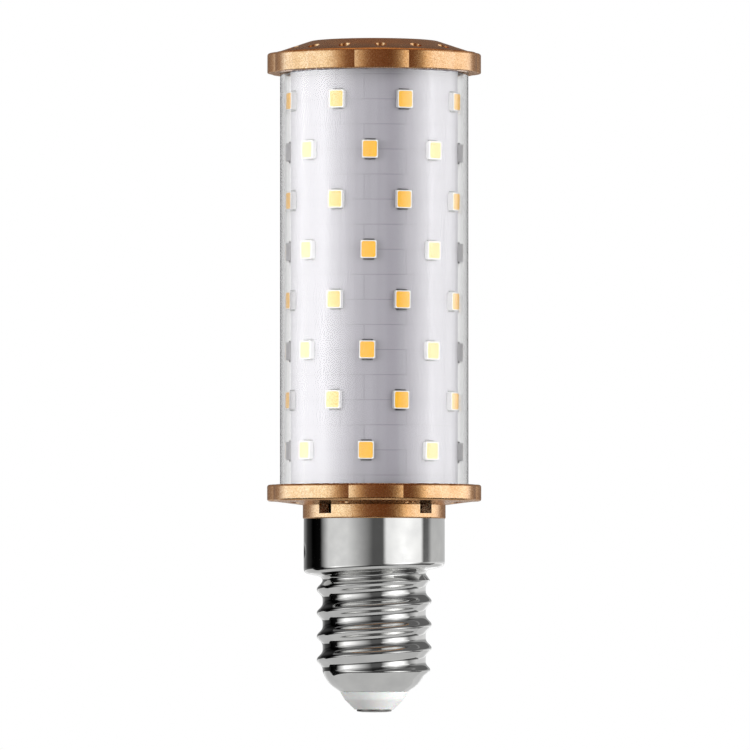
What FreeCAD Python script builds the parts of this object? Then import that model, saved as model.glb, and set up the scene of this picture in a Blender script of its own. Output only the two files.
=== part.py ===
import FreeCAD, Part
import os

import Sketcher

# Screw-base bulb: rings of lamps on a rolled board, under a clear tube between two lobed caps.
# Millimetres. Z is the axis, z = 0 is the lower face of the centre contact, -Y is the front.

doc = FreeCAD.newDocument("corn_led_bulb")

SIZES = {
    # screw base, from the contact upwards
    "contact_dia": 4.2,
    "contact_depth": 0.35,
    "tip_dia": 5.0,
    "tip_depth": 2.15,
    "plug_height": 1.6,
    "mouth_dia": 8.2,
    "cone_depth": 2.45,
    "root_dia": 12.4,
    "thread_length": 12.4,
    "skirt_dia": 17.0,
    "skirt_depth": 5.95,
    "shell_wall": 0.3,
    # the two caps
    "collar_dia": 17.2,
    "collar_depth": 2.1,
    "neck_gap": 0.65,
    "cap_wall": 1.2,
    "base_rim_height": 2.0,
    "top_rim_height": 2.4,
    "top_slope_rise": 1.45,
    "top_disc_dia": 15.6,
    "flange_overhang": 1.55,
    "lobe_count": 12,
    "cusp_depth": 0.2,
    "base_lobe_phase": 1.0,
    "top_lobe_phase": 4.25,
    "window_count": 4,
    "window_width": 2.0,
    "window_height": 1.2,
    "window_drop": 0.3,
    "window_phase": 46.5,
    "seat_depth": 1.0,
    "seat_clearance": 0.05,
    # tube, board and lamps
    "tube_dia": 22.7,
    "tube_wall": 0.5,
    "tube_length": 49.6,
    "board_wall": 0.4,
    "board_seam": 0.6,
    "notch_rise": 1.2,
    "led_count": 8,
    "led_width": 1.9,
    "led_length": 2.15,
    "led_height": 0.62,
    "led_clearance": 0.1,
    "solder_gap": 0.02,
    "phosphor_width": 1.6,
    "phosphor_length": 1.85,
    "phosphor_depth": 0.06,
    "row_start": 4.0,
    "row_end": 3.6,
    "row_phase": -5.3,
    "row_twist": 0.43,
    "wrap_skew": 0.5,
    # driver
    "driver_wall": 1.0,
    "driver_margin": 3.0,
    "part_start": 1.5,
    "part_gap": 1.2,
    "guide_reach": 1.2,
    "guide_wall": 0.6,
    "guide_floor": 0.8,
    "wire_dia": 0.9,
    "wire_lap": 2.0,
    "capacitor_dia": 6.3,
    "capacitor_gap": 0.9,
    "capacitor_foot": 6.6,
    "capacitor_foot_height": 0.6,
    "rectifier_width": 4.7,
    "rectifier_length": 3.8,
    "rectifier_height": 2.2,
    "chip_width": 3.9,
    "chip_length": 4.9,
    "chip_height": 1.45,
    "pin_width": 0.4,
    "pin_reach": 1.0,
    "pin_height": 0.3,
    "pin_pitch": 1.27,
    "fuse_dia": 2.2,
    "fuse_length": 5.8,
    "fuse_offset": 3.6,
    "resistor_width": 1.25,
    "resistor_length": 2.0,
    "resistor_height": 0.5,
    "resistor_pitch": 2.2,
    "resistor_count": 3,
}

sheet = doc.addObject("Spreadsheet::Sheet", "Sizes")
for row, (alias, size) in enumerate(SIZES.items(), start=1):
    sheet.set(f"A{row}", alias)
    sheet.set(f"B{row}", str(size))
    sheet.setAlias(f"B{row}", alias)
doc.recompute()

# Heights along the axis, each a sum of sizes in the sheet.
MOUTH_Z = "(Sizes.contact_depth + Sizes.tip_depth)"
THREAD_Z = f"({MOUTH_Z} + Sizes.cone_depth)"
SKIRT_Z = f"({THREAD_Z} + Sizes.thread_length)"
SHELL_TOP_Z = f"({SKIRT_Z} + Sizes.skirt_depth)"
BASE_FLANGE_Z = f"({SHELL_TOP_Z} + Sizes.collar_depth)"
TUBE_Z = f"({BASE_FLANGE_Z} + Sizes.base_rim_height)"
TOP_FLANGE_Z = f"({TUBE_Z} + Sizes.tube_length)"

# Radii, worked inwards from the tube and from the skirt of the shell.
TUBE_R = "(Sizes.tube_dia / 2)"
TUBE_IN_R = f"({TUBE_R} - Sizes.tube_wall)"
FLANGE_R = f"({TUBE_R} + Sizes.flange_overhang)"
LED_FACE_R = f"sqrt(({TUBE_IN_R} - Sizes.led_clearance)^2 - (Sizes.led_width / 2)^2)"
LED_BACK_R = f"({LED_FACE_R} - Sizes.led_height)"
BOARD_R = f"({LED_BACK_R} - Sizes.solder_gap)"
BOARD_IN_R = f"({BOARD_R} - Sizes.board_wall)"
SEAT_IN_R = f"({BOARD_IN_R} - Sizes.seat_clearance)"
SEAT_R = f"({TUBE_R} + Sizes.seat_clearance)"
MOUTH_R = "(Sizes.mouth_dia / 2)"
ROOT_R = "(Sizes.root_dia / 2)"
SKIRT_R = "(Sizes.skirt_dia / 2)"
COLLAR_R = "(Sizes.collar_dia / 2)"
NECK_DEPTH = "(Sizes.skirt_depth - Sizes.shell_wall - Sizes.neck_gap)"
NECK_R = f"({SKIRT_R} - Sizes.shell_wall - Sizes.seat_clearance)"
BORE_R = f"({NECK_R} - Sizes.cap_wall)"

probe = doc.addObject("App::VarSet", "Probe")
probe.addProperty("App::PropertyFloat", "value")


def value(formula):
    """The present value of a formula, to draw near its true place before constraints hold it."""
    probe.setExpression("value", formula)
    probe.recompute()
    return probe.value


def origin_part(body, role):
    for feature in body.Origin.OriginFeatures:
        if feature.Role == role:
            return feature


def new_body(label, z="0"):
    body = doc.addObject("PartDesign::Body", label)
    body.Label = label
    body.setExpression("Placement.Base.z", z)
    return body


def new_sketch(body, name, role, offset="0", turn="0"):
    sketch = body.newObject("Sketcher::SketchObject", name)
    sketch.AttachmentSupport = [(origin_part(body, role), "")]
    sketch.MapMode = "FlatFace"
    sketch.setExpression("AttachmentOffset.Base.z", offset)
    if turn != "0":
        sketch.AttachmentOffset = FreeCAD.Placement(
            FreeCAD.Vector(), FreeCAD.Rotation(FreeCAD.Vector(0, 1, 0), 1)
        )
        sketch.setExpression("AttachmentOffset.Rotation.Angle", turn)
    return sketch


def hold(sketch, kind, *ends, formula):
    index = sketch.addConstraint(Sketcher.Constraint(kind, *ends, value(formula)))
    sketch.setExpression(f"Constraints[{index}]", formula)


def draw_loop(sketch, corners):
    """Closed outline of straight lines through the corners."""
    points = [FreeCAD.Vector(value(x), value(y), 0) for x, y in corners]
    lines = []
    for number, start in enumerate(points):
        end = points[(number + 1) % len(points)]
        lines.append(sketch.addGeometry(Part.LineSegment(start, end), False))
    for number, line in enumerate(lines):
        following = lines[(number + 1) % len(lines)]
        sketch.addConstraint(Sketcher.Constraint("Coincident", line, 2, following, 1))
    for (x, y), line in zip(corners, lines):
        hold(sketch, "DistanceX", -1, 1, line, 1, formula=x)
        hold(sketch, "DistanceY", -1, 1, line, 1, formula=y)


def draw_circle(sketch, x, y, radius):
    centre = FreeCAD.Vector(value(x), value(y), 0)
    index = sketch.addGeometry(Part.Circle(centre, FreeCAD.Vector(0, 0, 1), value(radius)), False)
    hold(sketch, "DistanceX", -1, 1, index, 3, formula=x)
    hold(sketch, "DistanceY", -1, 1, index, 3, formula=y)
    hold(sketch, "Radius", index, formula=radius)


def box_corners(x_low, x_high, y_low, y_high):
    return [(x_low, y_low), (x_high, y_low), (x_high, y_high), (x_low, y_high)]


def centred_box(width, length, x="0", y="0"):
    return box_corners(f"{x} - {width} / 2", f"{x} + {width} / 2", f"{y} - {length} / 2", f"{y} + {length} / 2")


def extrude(body, kind, name, sketch, length, reverse=False):
    feature = body.newObject(f"PartDesign::{kind}", name)
    feature.Profile = sketch
    feature.Reversed = reverse
    feature.setExpression("Length", length)
    doc.recompute()
    return feature


def spin(body, kind, name, corners):
    """A profile in the XZ plane, turned right round the axis."""
    sketch = new_sketch(body, name + "_profile", "XZ_Plane")
    draw_loop(sketch, corners)
    feature = body.newObject(f"PartDesign::{kind}", name)
    feature.Profile = sketch
    feature.ReferenceAxis = (sketch, ["V_Axis"])
    feature.Angle = 360
    doc.recompute()
    return feature


def ring_of(body, name, originals, count):
    pattern = body.newObject("PartDesign::PolarPattern", name)
    pattern.Originals = originals
    pattern.Axis = (origin_part(body, "Z_Axis"), [""])
    pattern.Angle = 360
    pattern.setExpression("Occurrences", count)
    body.Tip = pattern
    doc.recompute()
    return pattern


# Screw shell: rolled sheet metal, turned from one profile. The solid follows the root of the thread.
shell = new_body("screw_shell")
ROOT_IN_R = f"({ROOT_R} - Sizes.shell_wall)"
LIP_R = f"({MOUTH_R} - Sizes.shell_wall)"
spin(shell, "Revolution", "sheet", [
    (LIP_R, MOUTH_Z),
    (MOUTH_R, MOUTH_Z),
    (ROOT_R, THREAD_Z),
    (ROOT_R, SKIRT_Z),
    (SKIRT_R, SKIRT_Z),
    (SKIRT_R, SHELL_TOP_Z),
    (f"{SKIRT_R} - Sizes.shell_wall", SHELL_TOP_Z),
    (f"{SKIRT_R} - Sizes.shell_wall", f"{SKIRT_Z} + Sizes.shell_wall"),
    (ROOT_IN_R, f"{SKIRT_Z} + Sizes.shell_wall"),
    (ROOT_IN_R, THREAD_Z),
])

# Insulator: a plug through the mouth of the cone, with a tapered tip and a hole for the live wire.
insulator = new_body("insulator")
WIRE_HOLE_R = "(Sizes.wire_dia / 2 + Sizes.seat_clearance)"
PLUG_R = f"({LIP_R} - Sizes.seat_clearance)"
PLUG_TOP_Z = f"({MOUTH_Z} + Sizes.plug_height)"
spin(insulator, "Revolution", "plug", [
    (WIRE_HOLE_R, "Sizes.contact_depth"),
    ("Sizes.tip_dia / 2", "Sizes.contact_depth"),
    (PLUG_R, MOUTH_Z),
    (PLUG_R, PLUG_TOP_Z),
    (WIRE_HOLE_R, PLUG_TOP_Z),
])

# Centre contact: a pressed disc.
contact = new_body("centre_contact")
contact_sketch = new_sketch(contact, "disc_circle", "XY_Plane")
draw_circle(contact_sketch, "0", "0", "Sizes.contact_dia / 2")
extrude(contact, "Pad", "disc", contact_sketch, "Sizes.contact_depth")


# Both caps have the same lobed rim: equal discs set round the axis, whose edges meet in cusps.
CUSP_R = f"({FLANGE_R} - Sizes.cusp_depth)"
HALF_LOBE = "(180 / Sizes.lobe_count)"
LOBE_SAG = f"({FLANGE_R} - {CUSP_R} * cos({HALF_LOBE}))"
LOBE_R = f"((({CUSP_R} * sin({HALF_LOBE}))^2 + {LOBE_SAG}^2) / (2 * {LOBE_SAG}))"
LOBE_OFFSET = f"({FLANGE_R} - {LOBE_R})"


def lobed_rim(body, height, phase):
    sketch = new_sketch(body, "lobe_circle", "XY_Plane")
    draw_circle(sketch, f"{LOBE_OFFSET} * sin({phase})", f"-{LOBE_OFFSET} * cos({phase})", LOBE_R)
    lobe = extrude(body, "Pad", "lobe", sketch, height)
    ring_of(body, "lobes", [lobe], "Sizes.lobe_count")


# Base cap: lobed rim with a seat for tube and board, windowed collar, neck that the shell is pressed on.
base_cap = new_body("base_cap", BASE_FLANGE_Z)
lobed_rim(base_cap, "Sizes.base_rim_height", "Sizes.base_lobe_phase")
NECK_LOW = f"(0 - Sizes.collar_depth - {NECK_DEPTH})"
spin(base_cap, "Revolution", "collar", [
    (BORE_R, NECK_LOW),
    (NECK_R, NECK_LOW),
    (NECK_R, "0 - Sizes.collar_depth"),
    (COLLAR_R, "0 - Sizes.collar_depth"),
    (COLLAR_R, "Sizes.cap_wall / 2"),
    (BORE_R, "Sizes.cap_wall / 2"),
])
spin(base_cap, "Groove", "seat", box_corners(
    SEAT_IN_R,
    SEAT_R,
    "Sizes.base_rim_height - Sizes.seat_depth",
    "Sizes.base_rim_height + Sizes.cap_wall",
))
spin(base_cap, "Groove", "bore", box_corners(
    "0",
    BORE_R,
    "0 - Sizes.cap_wall",
    "Sizes.base_rim_height + Sizes.cap_wall",
))
window_sketch = new_sketch(base_cap, "window_outline", "XZ_Plane", "0", "Sizes.window_phase")
draw_loop(window_sketch, box_corners(
    "0 - Sizes.window_width / 2",
    "Sizes.window_width / 2",
    "0 - Sizes.window_drop - Sizes.window_height",
    "0 - Sizes.window_drop",
))
window = extrude(base_cap, "Pocket", "window", window_sketch, f"{COLLAR_R} + Sizes.cap_wall")
ring_of(base_cap, "windows", [window], "Sizes.window_count")

# Two slotted guides in the bore hold the driver board by its edges.
SLOT_HALF = "(Sizes.driver_wall / 2 + Sizes.seat_clearance)"
DRIVER_Y = "((Sizes.driver_wall + Sizes.wire_dia) / 2 + Sizes.seat_clearance)"
DRIVER_HALF = f"({BORE_R} - Sizes.guide_reach / 3)"
GUIDE_HALF = f"({SLOT_HALF} + Sizes.guide_wall)"
for side in ("-", "+"):
    name = "left" if side == "-" else "right"
    guide_sketch = new_sketch(base_cap, f"guide_{name}_outline", "XY_Plane", NECK_LOW)
    inner = f"0 {side} ({BORE_R} - Sizes.guide_reach)"
    outer = f"0 {side} ({BORE_R} + Sizes.cap_wall / 2)"
    corners = box_corners(inner, outer, f"{DRIVER_Y} - {GUIDE_HALF}", f"{DRIVER_Y} + {GUIDE_HALF}")
    draw_loop(guide_sketch, corners if side == "+" else corners[::-1])
    extrude(base_cap, "Pad", f"guide_{name}", guide_sketch, f"Sizes.collar_depth + {NECK_DEPTH}")
slot_sketch = new_sketch(base_cap, "slot_outline", "XY_Plane", "Sizes.cap_wall")
slot_x = f"({DRIVER_HALF} + Sizes.seat_clearance)"
slot_low = f"{DRIVER_Y} - {SLOT_HALF}"
slot_high = f"{DRIVER_Y} + {SLOT_HALF}"
draw_loop(slot_sketch, box_corners(f"0 - {slot_x}", slot_x, slot_low, slot_high))
extrude(
    base_cap,
    "Pocket",
    "slot",
    slot_sketch,
    f"Sizes.cap_wall + Sizes.collar_depth + {NECK_DEPTH} - Sizes.guide_floor",
)

# Top cap: the same rim, with a sloping face up to a flat disc.
top_cap = new_body("top_cap", TOP_FLANGE_Z)
TOP_HEIGHT = "(Sizes.top_rim_height + Sizes.top_slope_rise)"
TOP_DISC_R = "(Sizes.top_disc_dia / 2)"
TOP_SLOPE = f"(Sizes.top_slope_rise / ({FLANGE_R} - {TOP_DISC_R}))"
lobed_rim(top_cap, TOP_HEIGHT, "Sizes.top_lobe_phase")
spin(top_cap, "Groove", "slope", [
    (TOP_DISC_R, TOP_HEIGHT),
    (
        f"{FLANGE_R} + Sizes.cap_wall",
        f"Sizes.top_rim_height - {TOP_SLOPE} * Sizes.cap_wall",
    ),
    (f"{FLANGE_R} + Sizes.cap_wall", f"{TOP_HEIGHT} + Sizes.cap_wall"),
    (TOP_DISC_R, f"{TOP_HEIGHT} + Sizes.cap_wall"),
])
spin(top_cap, "Groove", "seat", box_corners("0", SEAT_R, "0 - Sizes.cap_wall", "Sizes.seat_depth"))

# Clear tube, from the seat in one cap to the seat in the other.
END_Z = f"({TUBE_Z} - Sizes.seat_depth)"
SEATED_LENGTH = "(Sizes.tube_length + 2 * Sizes.seat_depth)"
tube = new_body("clear_tube", END_Z)
tube_sketch = new_sketch(tube, "tube_section", "XY_Plane")
draw_circle(tube_sketch, "0", "0", TUBE_R)
draw_circle(tube_sketch, "0", "0", TUBE_IN_R)
extrude(tube, "Pad", "tube_wall", tube_sketch, SEATED_LENGTH)

# Lamp board: rolled sheet with its seam at the back, and a notch on each side of it for a lamp wire.
board = new_body("led_board", END_Z)
board_sketch = new_sketch(board, "board_section", "XY_Plane")
draw_circle(board_sketch, "0", "0", BOARD_R)
draw_circle(board_sketch, "0", "0", BOARD_IN_R)
extrude(board, "Pad", "board_wall", board_sketch, SEATED_LENGTH)
seam_sketch = new_sketch(board, "seam_outline", "XY_Plane")
draw_loop(seam_sketch, box_corners("0 - Sizes.board_seam / 2", "Sizes.board_seam / 2", "0", f"{BOARD_R} * 2"))
extrude(board, "Pocket", "seam", seam_sketch, SEATED_LENGTH, True)
LAMP_WIRE_X = "(Sizes.board_seam / 2 + 3 * Sizes.wire_dia)"
NOTCH_HEIGHT = f"(Sizes.seat_depth + Sizes.notch_rise + {WIRE_HOLE_R})"
for side in ("-", "+"):
    name = "left" if side == "-" else "right"
    notch_sketch = new_sketch(board, f"notch_{name}_outline", "XZ_Plane")
    notch_x = f"(0 {side} {LAMP_WIRE_X})"
    draw_loop(notch_sketch, box_corners(
        f"{notch_x} - {WIRE_HOLE_R}",
        f"{notch_x} + {WIRE_HOLE_R}",
        "0",
        NOTCH_HEIGHT,
    ))
    extrude(board, "Pocket", f"notch_{name}", notch_sketch, f"{BOARD_R} * 2")

# Lamps: each ring is white cases on the board, with a yellow phosphor window on the face of each.
# Alternate rings stand half a step round, and the wrap of the board turns each a little more.
LED_ROWS = 8
ROW_PITCH = f"((Sizes.tube_length - Sizes.row_start - Sizes.row_end) / {LED_ROWS - 1})"
CASE_HEIGHT = "(Sizes.led_height - Sizes.phosphor_depth)"


def lamp_ring(label, row, width, length, back, height):
    body = new_body(label, f"{TUBE_Z} + Sizes.row_start + {row} * {ROW_PITCH}")
    half_step = f"{row % 2} * 180 / Sizes.led_count"
    body.setExpression("Placement.Rotation.Yaw", f"Sizes.row_phase + {row} * Sizes.row_twist + {half_step}")
    body.setExpression("Placement.Rotation.Pitch", "Sizes.wrap_skew")
    sketch = new_sketch(body, "outline", "XZ_Plane", back)
    draw_loop(sketch, centred_box(width, length))
    block = extrude(body, "Pad", "block", sketch, height)
    ring_of(body, "ring", [block], "Sizes.led_count")


for row in range(LED_ROWS):
    lamp_ring(
        f"led_body_row_{row + 1}", row, "Sizes.led_width", "Sizes.led_length", LED_BACK_R, CASE_HEIGHT
    )
    lamp_ring(
        f"phosphor_row_{row + 1}",
        row,
        "Sizes.phosphor_width",
        "Sizes.phosphor_length",
        f"({LED_BACK_R} + {CASE_HEIGHT})",
        "Sizes.phosphor_depth",
    )

# Driver board: stands on edge in the guides, just behind the axis. Its parts follow one another up it,
# the chips on the front and the capacitor on the back.
DRIVER_Z = f"({SHELL_TOP_Z} - {NECK_DEPTH} + Sizes.guide_floor)"
DRIVER_FACE = "(Sizes.driver_wall / 2)"
LAMP_WIRE_Z = f"({TUBE_Z} + Sizes.notch_rise)"
FUSE_RISE = "(Sizes.part_start + Sizes.fuse_length / 2)"
RECTIFIER_RISE = f"({FUSE_RISE} + (Sizes.fuse_length + Sizes.rectifier_length) / 2 + Sizes.part_gap)"
CHIP_RISE = f"({RECTIFIER_RISE} + (Sizes.rectifier_length + Sizes.chip_length) / 2 + Sizes.part_gap)"
CAPACITOR_RISE = CHIP_RISE
RESISTOR_RISE = f"({CHIP_RISE} + (Sizes.chip_length + Sizes.resistor_length) / 2 + Sizes.part_gap)"
DRIVER_LENGTH = f"({RESISTOR_RISE} + Sizes.resistor_length / 2 + Sizes.driver_margin)"


def driver_body(label, rise="0"):
    body = new_body(label, f"{DRIVER_Z} + {rise}")
    body.setExpression("Placement.Base.y", DRIVER_Y)
    return body


driver = driver_body("driver_board")
driver_sketch = new_sketch(driver, "driver_outline", "XZ_Plane", f"0 - {DRIVER_FACE}")
draw_loop(driver_sketch, box_corners(f"0 - {DRIVER_HALF}", DRIVER_HALF, "0", DRIVER_LENGTH))
extrude(driver, "Pad", "driver_plate", driver_sketch, "Sizes.driver_wall")

# Smoothing capacitor: a can on a square foot, soldered to the back of the driver board. It stops short
# of the lamp board.
capacitor = driver_body("smoothing_capacitor", CAPACITOR_RISE)
CAN_ROOM = f"(sqrt({BOARD_IN_R}^2 - (Sizes.capacitor_dia / 2)^2) - {DRIVER_Y} - {DRIVER_FACE})"
foot_y = f"0 - {DRIVER_FACE} - Sizes.solder_gap"
foot_sketch = new_sketch(capacitor, "foot_outline", "XZ_Plane", foot_y)
draw_loop(foot_sketch, centred_box("Sizes.capacitor_foot", "Sizes.capacitor_foot"))
extrude(capacitor, "Pad", "foot", foot_sketch, "Sizes.capacitor_foot_height", True)
can_sketch = new_sketch(capacitor, "can_circle", "XZ_Plane", foot_y)
draw_circle(can_sketch, "0", "0", "Sizes.capacitor_dia / 2")
extrude(capacitor, "Pad", "can", can_sketch, f"{CAN_ROOM} - Sizes.solder_gap - Sizes.capacitor_gap", True)


def chip_package(label, rise, width, length, height, rows):
    """A moulded block on the front of the driver board, with flat pins down both sides."""
    body = driver_body(label, rise)
    block_sketch = new_sketch(body, "block_outline", "XZ_Plane", f"{DRIVER_FACE} + Sizes.solder_gap")
    draw_loop(block_sketch, centred_box(width, length))
    extrude(body, "Pad", "block", block_sketch, height)
    for number in range(rows):
        pin_z = f"({number} - {(rows - 1) / 2}) * Sizes.pin_pitch"
        pin_sketch = new_sketch(body, f"pin_pair_{number + 1}", "XZ_Plane", f"{DRIVER_FACE} + Sizes.solder_gap")
        draw_loop(pin_sketch, centred_box(f"({width} + 2 * Sizes.pin_reach)", "Sizes.pin_width", "0", pin_z))
        extrude(body, "Pad", f"pins_{number + 1}", pin_sketch, "Sizes.pin_height")


chip_package(
    "bridge_rectifier",
    RECTIFIER_RISE,
    "Sizes.rectifier_width",
    "Sizes.rectifier_length",
    "Sizes.rectifier_height",
    2,
)
chip_package(
    "driver_chip",
    CHIP_RISE,
    "Sizes.chip_width",
    "Sizes.chip_length",
    "Sizes.chip_height",
    4,
)

# Chip resistors: a short row of small blocks near the top of the board.
resistors = driver_body("chip_resistors", RESISTOR_RISE)
resistor_sketch = new_sketch(resistors, "resistor_outline", "XZ_Plane", f"{DRIVER_FACE} + Sizes.solder_gap")
row_start_x = "(0 - (Sizes.resistor_count - 1) / 2 * Sizes.resistor_pitch)"
draw_loop(resistor_sketch, centred_box("Sizes.resistor_width", "Sizes.resistor_length", row_start_x))
resistor = extrude(resistors, "Pad", "resistor", resistor_sketch, "Sizes.resistor_height")
resistor_row = resistors.newObject("PartDesign::LinearPattern", "resistor_row")
resistor_row.Originals = [resistor]
resistor_row.Direction = (origin_part(resistors, "X_Axis"), [""])
resistor_row.setExpression("Length", "(Sizes.resistor_count - 1) * Sizes.resistor_pitch")
resistor_row.setExpression("Occurrences", "Sizes.resistor_count")
resistors.Tip = resistor_row
doc.recompute()

# Fuse resistor: a barrel soldered along the front of the board.
fuse = driver_body("fuse_resistor", f"{FUSE_RISE} - Sizes.fuse_length / 2")
fuse_sketch = new_sketch(fuse, "barrel_circle", "XY_Plane")
fuse_y = f"0 - {DRIVER_FACE} - Sizes.solder_gap - Sizes.fuse_dia / 2"
draw_circle(fuse_sketch, "0 - Sizes.fuse_offset", fuse_y, "Sizes.fuse_dia / 2")
extrude(fuse, "Pad", "barrel", fuse_sketch, "Sizes.fuse_length")


def straight_wire(label, role, x, y, start, length, reverse=False):
    body = new_body(label)
    sketch = new_sketch(body, "wire_section", role, start)
    draw_circle(sketch, x, y, "Sizes.wire_dia / 2")
    extrude(body, "Pad", "wire", sketch, length, reverse)


# Live wire: straight up the axis from the centre contact to the front of the driver board.
straight_wire(
    "live_wire",
    "XY_Plane",
    "0",
    "0",
    "Sizes.contact_depth",
    f"{DRIVER_Z} + Sizes.wire_lap - Sizes.contact_depth",
)

# Neutral wire: soldered along the inside of the shell, then up behind a guide to the driver board.
NEUTRAL_Y = f"({DRIVER_Y} + {GUIDE_HALF} + Sizes.seat_clearance + Sizes.wire_dia / 2)"
NEUTRAL_R = f"({ROOT_IN_R} - Sizes.seat_clearance - Sizes.wire_dia / 2)"
straight_wire(
    "neutral_wire",
    "XY_Plane",
    f"sqrt({NEUTRAL_R}^2 - {NEUTRAL_Y}^2)",
    NEUTRAL_Y,
    f"{THREAD_Z} + Sizes.wire_lap",
    f"{DRIVER_Z} - {THREAD_Z}",
)

# Lamp wires: from the back of the driver board straight to the notches beside the seam of the lamp board.
LAMP_WIRE_END = f"sqrt({BOARD_R}^2 - ({LAMP_WIRE_X} + Sizes.wire_dia / 2)^2)"
WIRE_START_Y = f"({DRIVER_Y} + {DRIVER_FACE})"
for label, side in (("led_minus_wire", "-"), ("led_plus_wire", "+")):
    straight_wire(
        label,
        "XZ_Plane",
        f"0 {side} {LAMP_WIRE_X}",
        LAMP_WIRE_Z,
        f"0 - {WIRE_START_Y}",
        f"{LAMP_WIRE_END} - {WIRE_START_Y}",
        True,
    )

doc.recompute()

# Every piece is checked before any file is written.
pieces = [item for item in doc.Objects if item.TypeId in ("PartDesign::Body", "Part::Feature")]
pieces = [item for item in pieces if item.getParentGeoFeatureGroup() is None]
for item in doc.Objects:
    if "Invalid" in item.State or "Error" in item.State:
        raise RuntimeError(f"{item.Label} did not build: {item.State}")
for item in pieces:
    if item.Shape.isNull() or not item.Shape.isValid() or not item.Shape.Solids:
        raise RuntimeError(f"{item.Label} has no sound solid")

os.makedirs("parts", exist_ok=True)
for item in pieces:
    item.Shape.exportStep(f"parts/{item.Label}.step")
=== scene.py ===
import math

import bmesh
import bpy
from mathutils import Matrix, Vector


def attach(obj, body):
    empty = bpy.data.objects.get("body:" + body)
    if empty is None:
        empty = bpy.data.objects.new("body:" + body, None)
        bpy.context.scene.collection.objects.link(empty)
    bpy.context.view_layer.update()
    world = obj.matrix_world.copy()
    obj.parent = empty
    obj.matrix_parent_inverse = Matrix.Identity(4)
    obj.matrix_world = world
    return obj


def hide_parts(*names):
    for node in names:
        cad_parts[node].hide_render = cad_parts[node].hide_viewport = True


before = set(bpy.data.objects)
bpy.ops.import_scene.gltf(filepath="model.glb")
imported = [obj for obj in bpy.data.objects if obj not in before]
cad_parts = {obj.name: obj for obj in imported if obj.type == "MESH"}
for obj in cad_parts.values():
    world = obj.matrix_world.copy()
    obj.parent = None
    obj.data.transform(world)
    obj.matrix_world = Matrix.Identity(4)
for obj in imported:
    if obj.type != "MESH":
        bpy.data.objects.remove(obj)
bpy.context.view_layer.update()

# Centre contact.
# A small pressed disc under the insulator, tinned, where the lampholder's spring touches the bulb.
# Turned here with a slightly domed face and a rolled edge, as the solder leaves it.
MM = 0.001  # sizes are in millimetres, and the frame is in metres


def linear(code):
    """Linear colour from an sRGB hex value."""
    channels = [int(code[i:i + 2], 16) / 255 for i in (1, 3, 5)]
    return [c / 12.92 if c <= 0.04045 else ((c + 0.055) / 1.055) ** 2.4 for c in channels] + [1.0]


def add_node(tree, kind, inputs=None, **settings):
    """A node with its settings. An input is a value, or a socket of an earlier node to link from."""
    node = tree.nodes.new(kind)
    for name, setting in settings.items():
        setattr(node, name, setting)
    for key, source in (inputs or {}).items():
        if isinstance(source, bpy.types.NodeSocket):
            tree.links.new(source, node.inputs[key])
        else:
            node.inputs[key].default_value = source
    return node


def new_finish(name):
    """A material with an empty node tree."""
    finish = bpy.data.materials.new(name)
    finish.use_nodes = True
    finish.node_tree.nodes.clear()
    return finish, finish.node_tree


def add_ramp(tree, source, stops):
    """A colour ramp through (position, hex colour) stops."""
    ramp = add_node(tree, "ShaderNodeValToRGB", {"Fac": source})
    while len(ramp.color_ramp.elements) < len(stops):
        ramp.color_ramp.elements.new(1.0)
    for element, (position, code) in zip(ramp.color_ramp.elements, stops):
        element.position = position
        element.color = linear(code)
    return ramp


def rounded(corners, steps=6):
    """Points of a profile in mm. A corner is (radius, height, fillet), with 0 for a sharp corner."""
    points = []
    count = len(corners)
    for number, (r, z, fillet) in enumerate(corners):
        here = Vector((r, z))
        if fillet == 0:
            points.append(here)
            continue
        before = (Vector(corners[number - 1][:2]) - here).normalized()
        after = (Vector(corners[(number + 1) % count][:2]) - here).normalized()
        half = before.angle(after) / 2
        reach = fillet / math.tan(half)
        centre = here + (before + after).normalized() * fillet / math.sin(half)
        first = here + before * reach - centre
        last = here + after * reach - centre
        sweep = first.angle_signed(last)
        for step in range(steps + 1):
            turn = Matrix.Rotation(-sweep * step / steps, 2)
            points.append(centre + turn @ first)
    return points


def mesh_piece(name, bm, sharp=30):
    """An object from a finished bmesh, smooth except where faces meet at more than the sharp angle."""
    bmesh.ops.recalc_face_normals(bm, faces=bm.faces)
    mesh = bpy.data.meshes.new(name)
    bm.to_mesh(mesh)
    bm.free()
    mesh.shade_smooth()
    mesh.set_sharp_from_angle(angle=math.radians(sharp))
    piece = bpy.data.objects.new(name, mesh)
    bpy.context.scene.collection.objects.link(piece)
    return piece


def turned_rows(rows, angles):
    """A bmesh of rings. A row gives a point in mm for each angle, or one point where it meets the axis."""
    bm = bmesh.new()
    rings = []
    for row in rows:
        points = [row(a) for a in angles]
        if max(Vector(p[:2]).length for p in points) < 1e-6:
            points = points[:1]
        rings.append([bm.verts.new(Vector(p) * MM) for p in points])
    for lower, upper in zip(rings, rings[1:] + rings[:1]):
        if len(lower) == 1 and len(upper) == 1:
            continue
        for i in range(len(angles)):
            j = (i + 1) % len(angles)
            corners = [lower[i % len(lower)], lower[j % len(lower)], upper[j % len(upper)], upper[i % len(upper)]]
            bm.faces.new(list(dict.fromkeys(corners)))
    return bm


def even_angles(count, start=0.0):
    """Angles in even steps once round."""
    return [start + 2 * math.pi * i / count for i in range(count)]


def round_row(r, z):
    """A plain ring, as a point in mm for each angle."""
    return lambda a: (r * math.cos(a), r * math.sin(a), z)


def turned(name, points, count, sharp=30):
    """A piece turned from (radius, height) points in mm."""
    rows = [round_row(r, z) for r, z in points]
    return mesh_piece(name, turned_rows(rows, even_angles(count)), sharp)


def dress(piece, finish, slot, *nodes):
    """Finish, body and the nodes that the piece stands for. The slot is not used."""
    piece.data.materials.clear()
    piece.data.materials.append(finish)
    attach(piece, "root")
    if nodes:
        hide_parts(*nodes)


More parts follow.
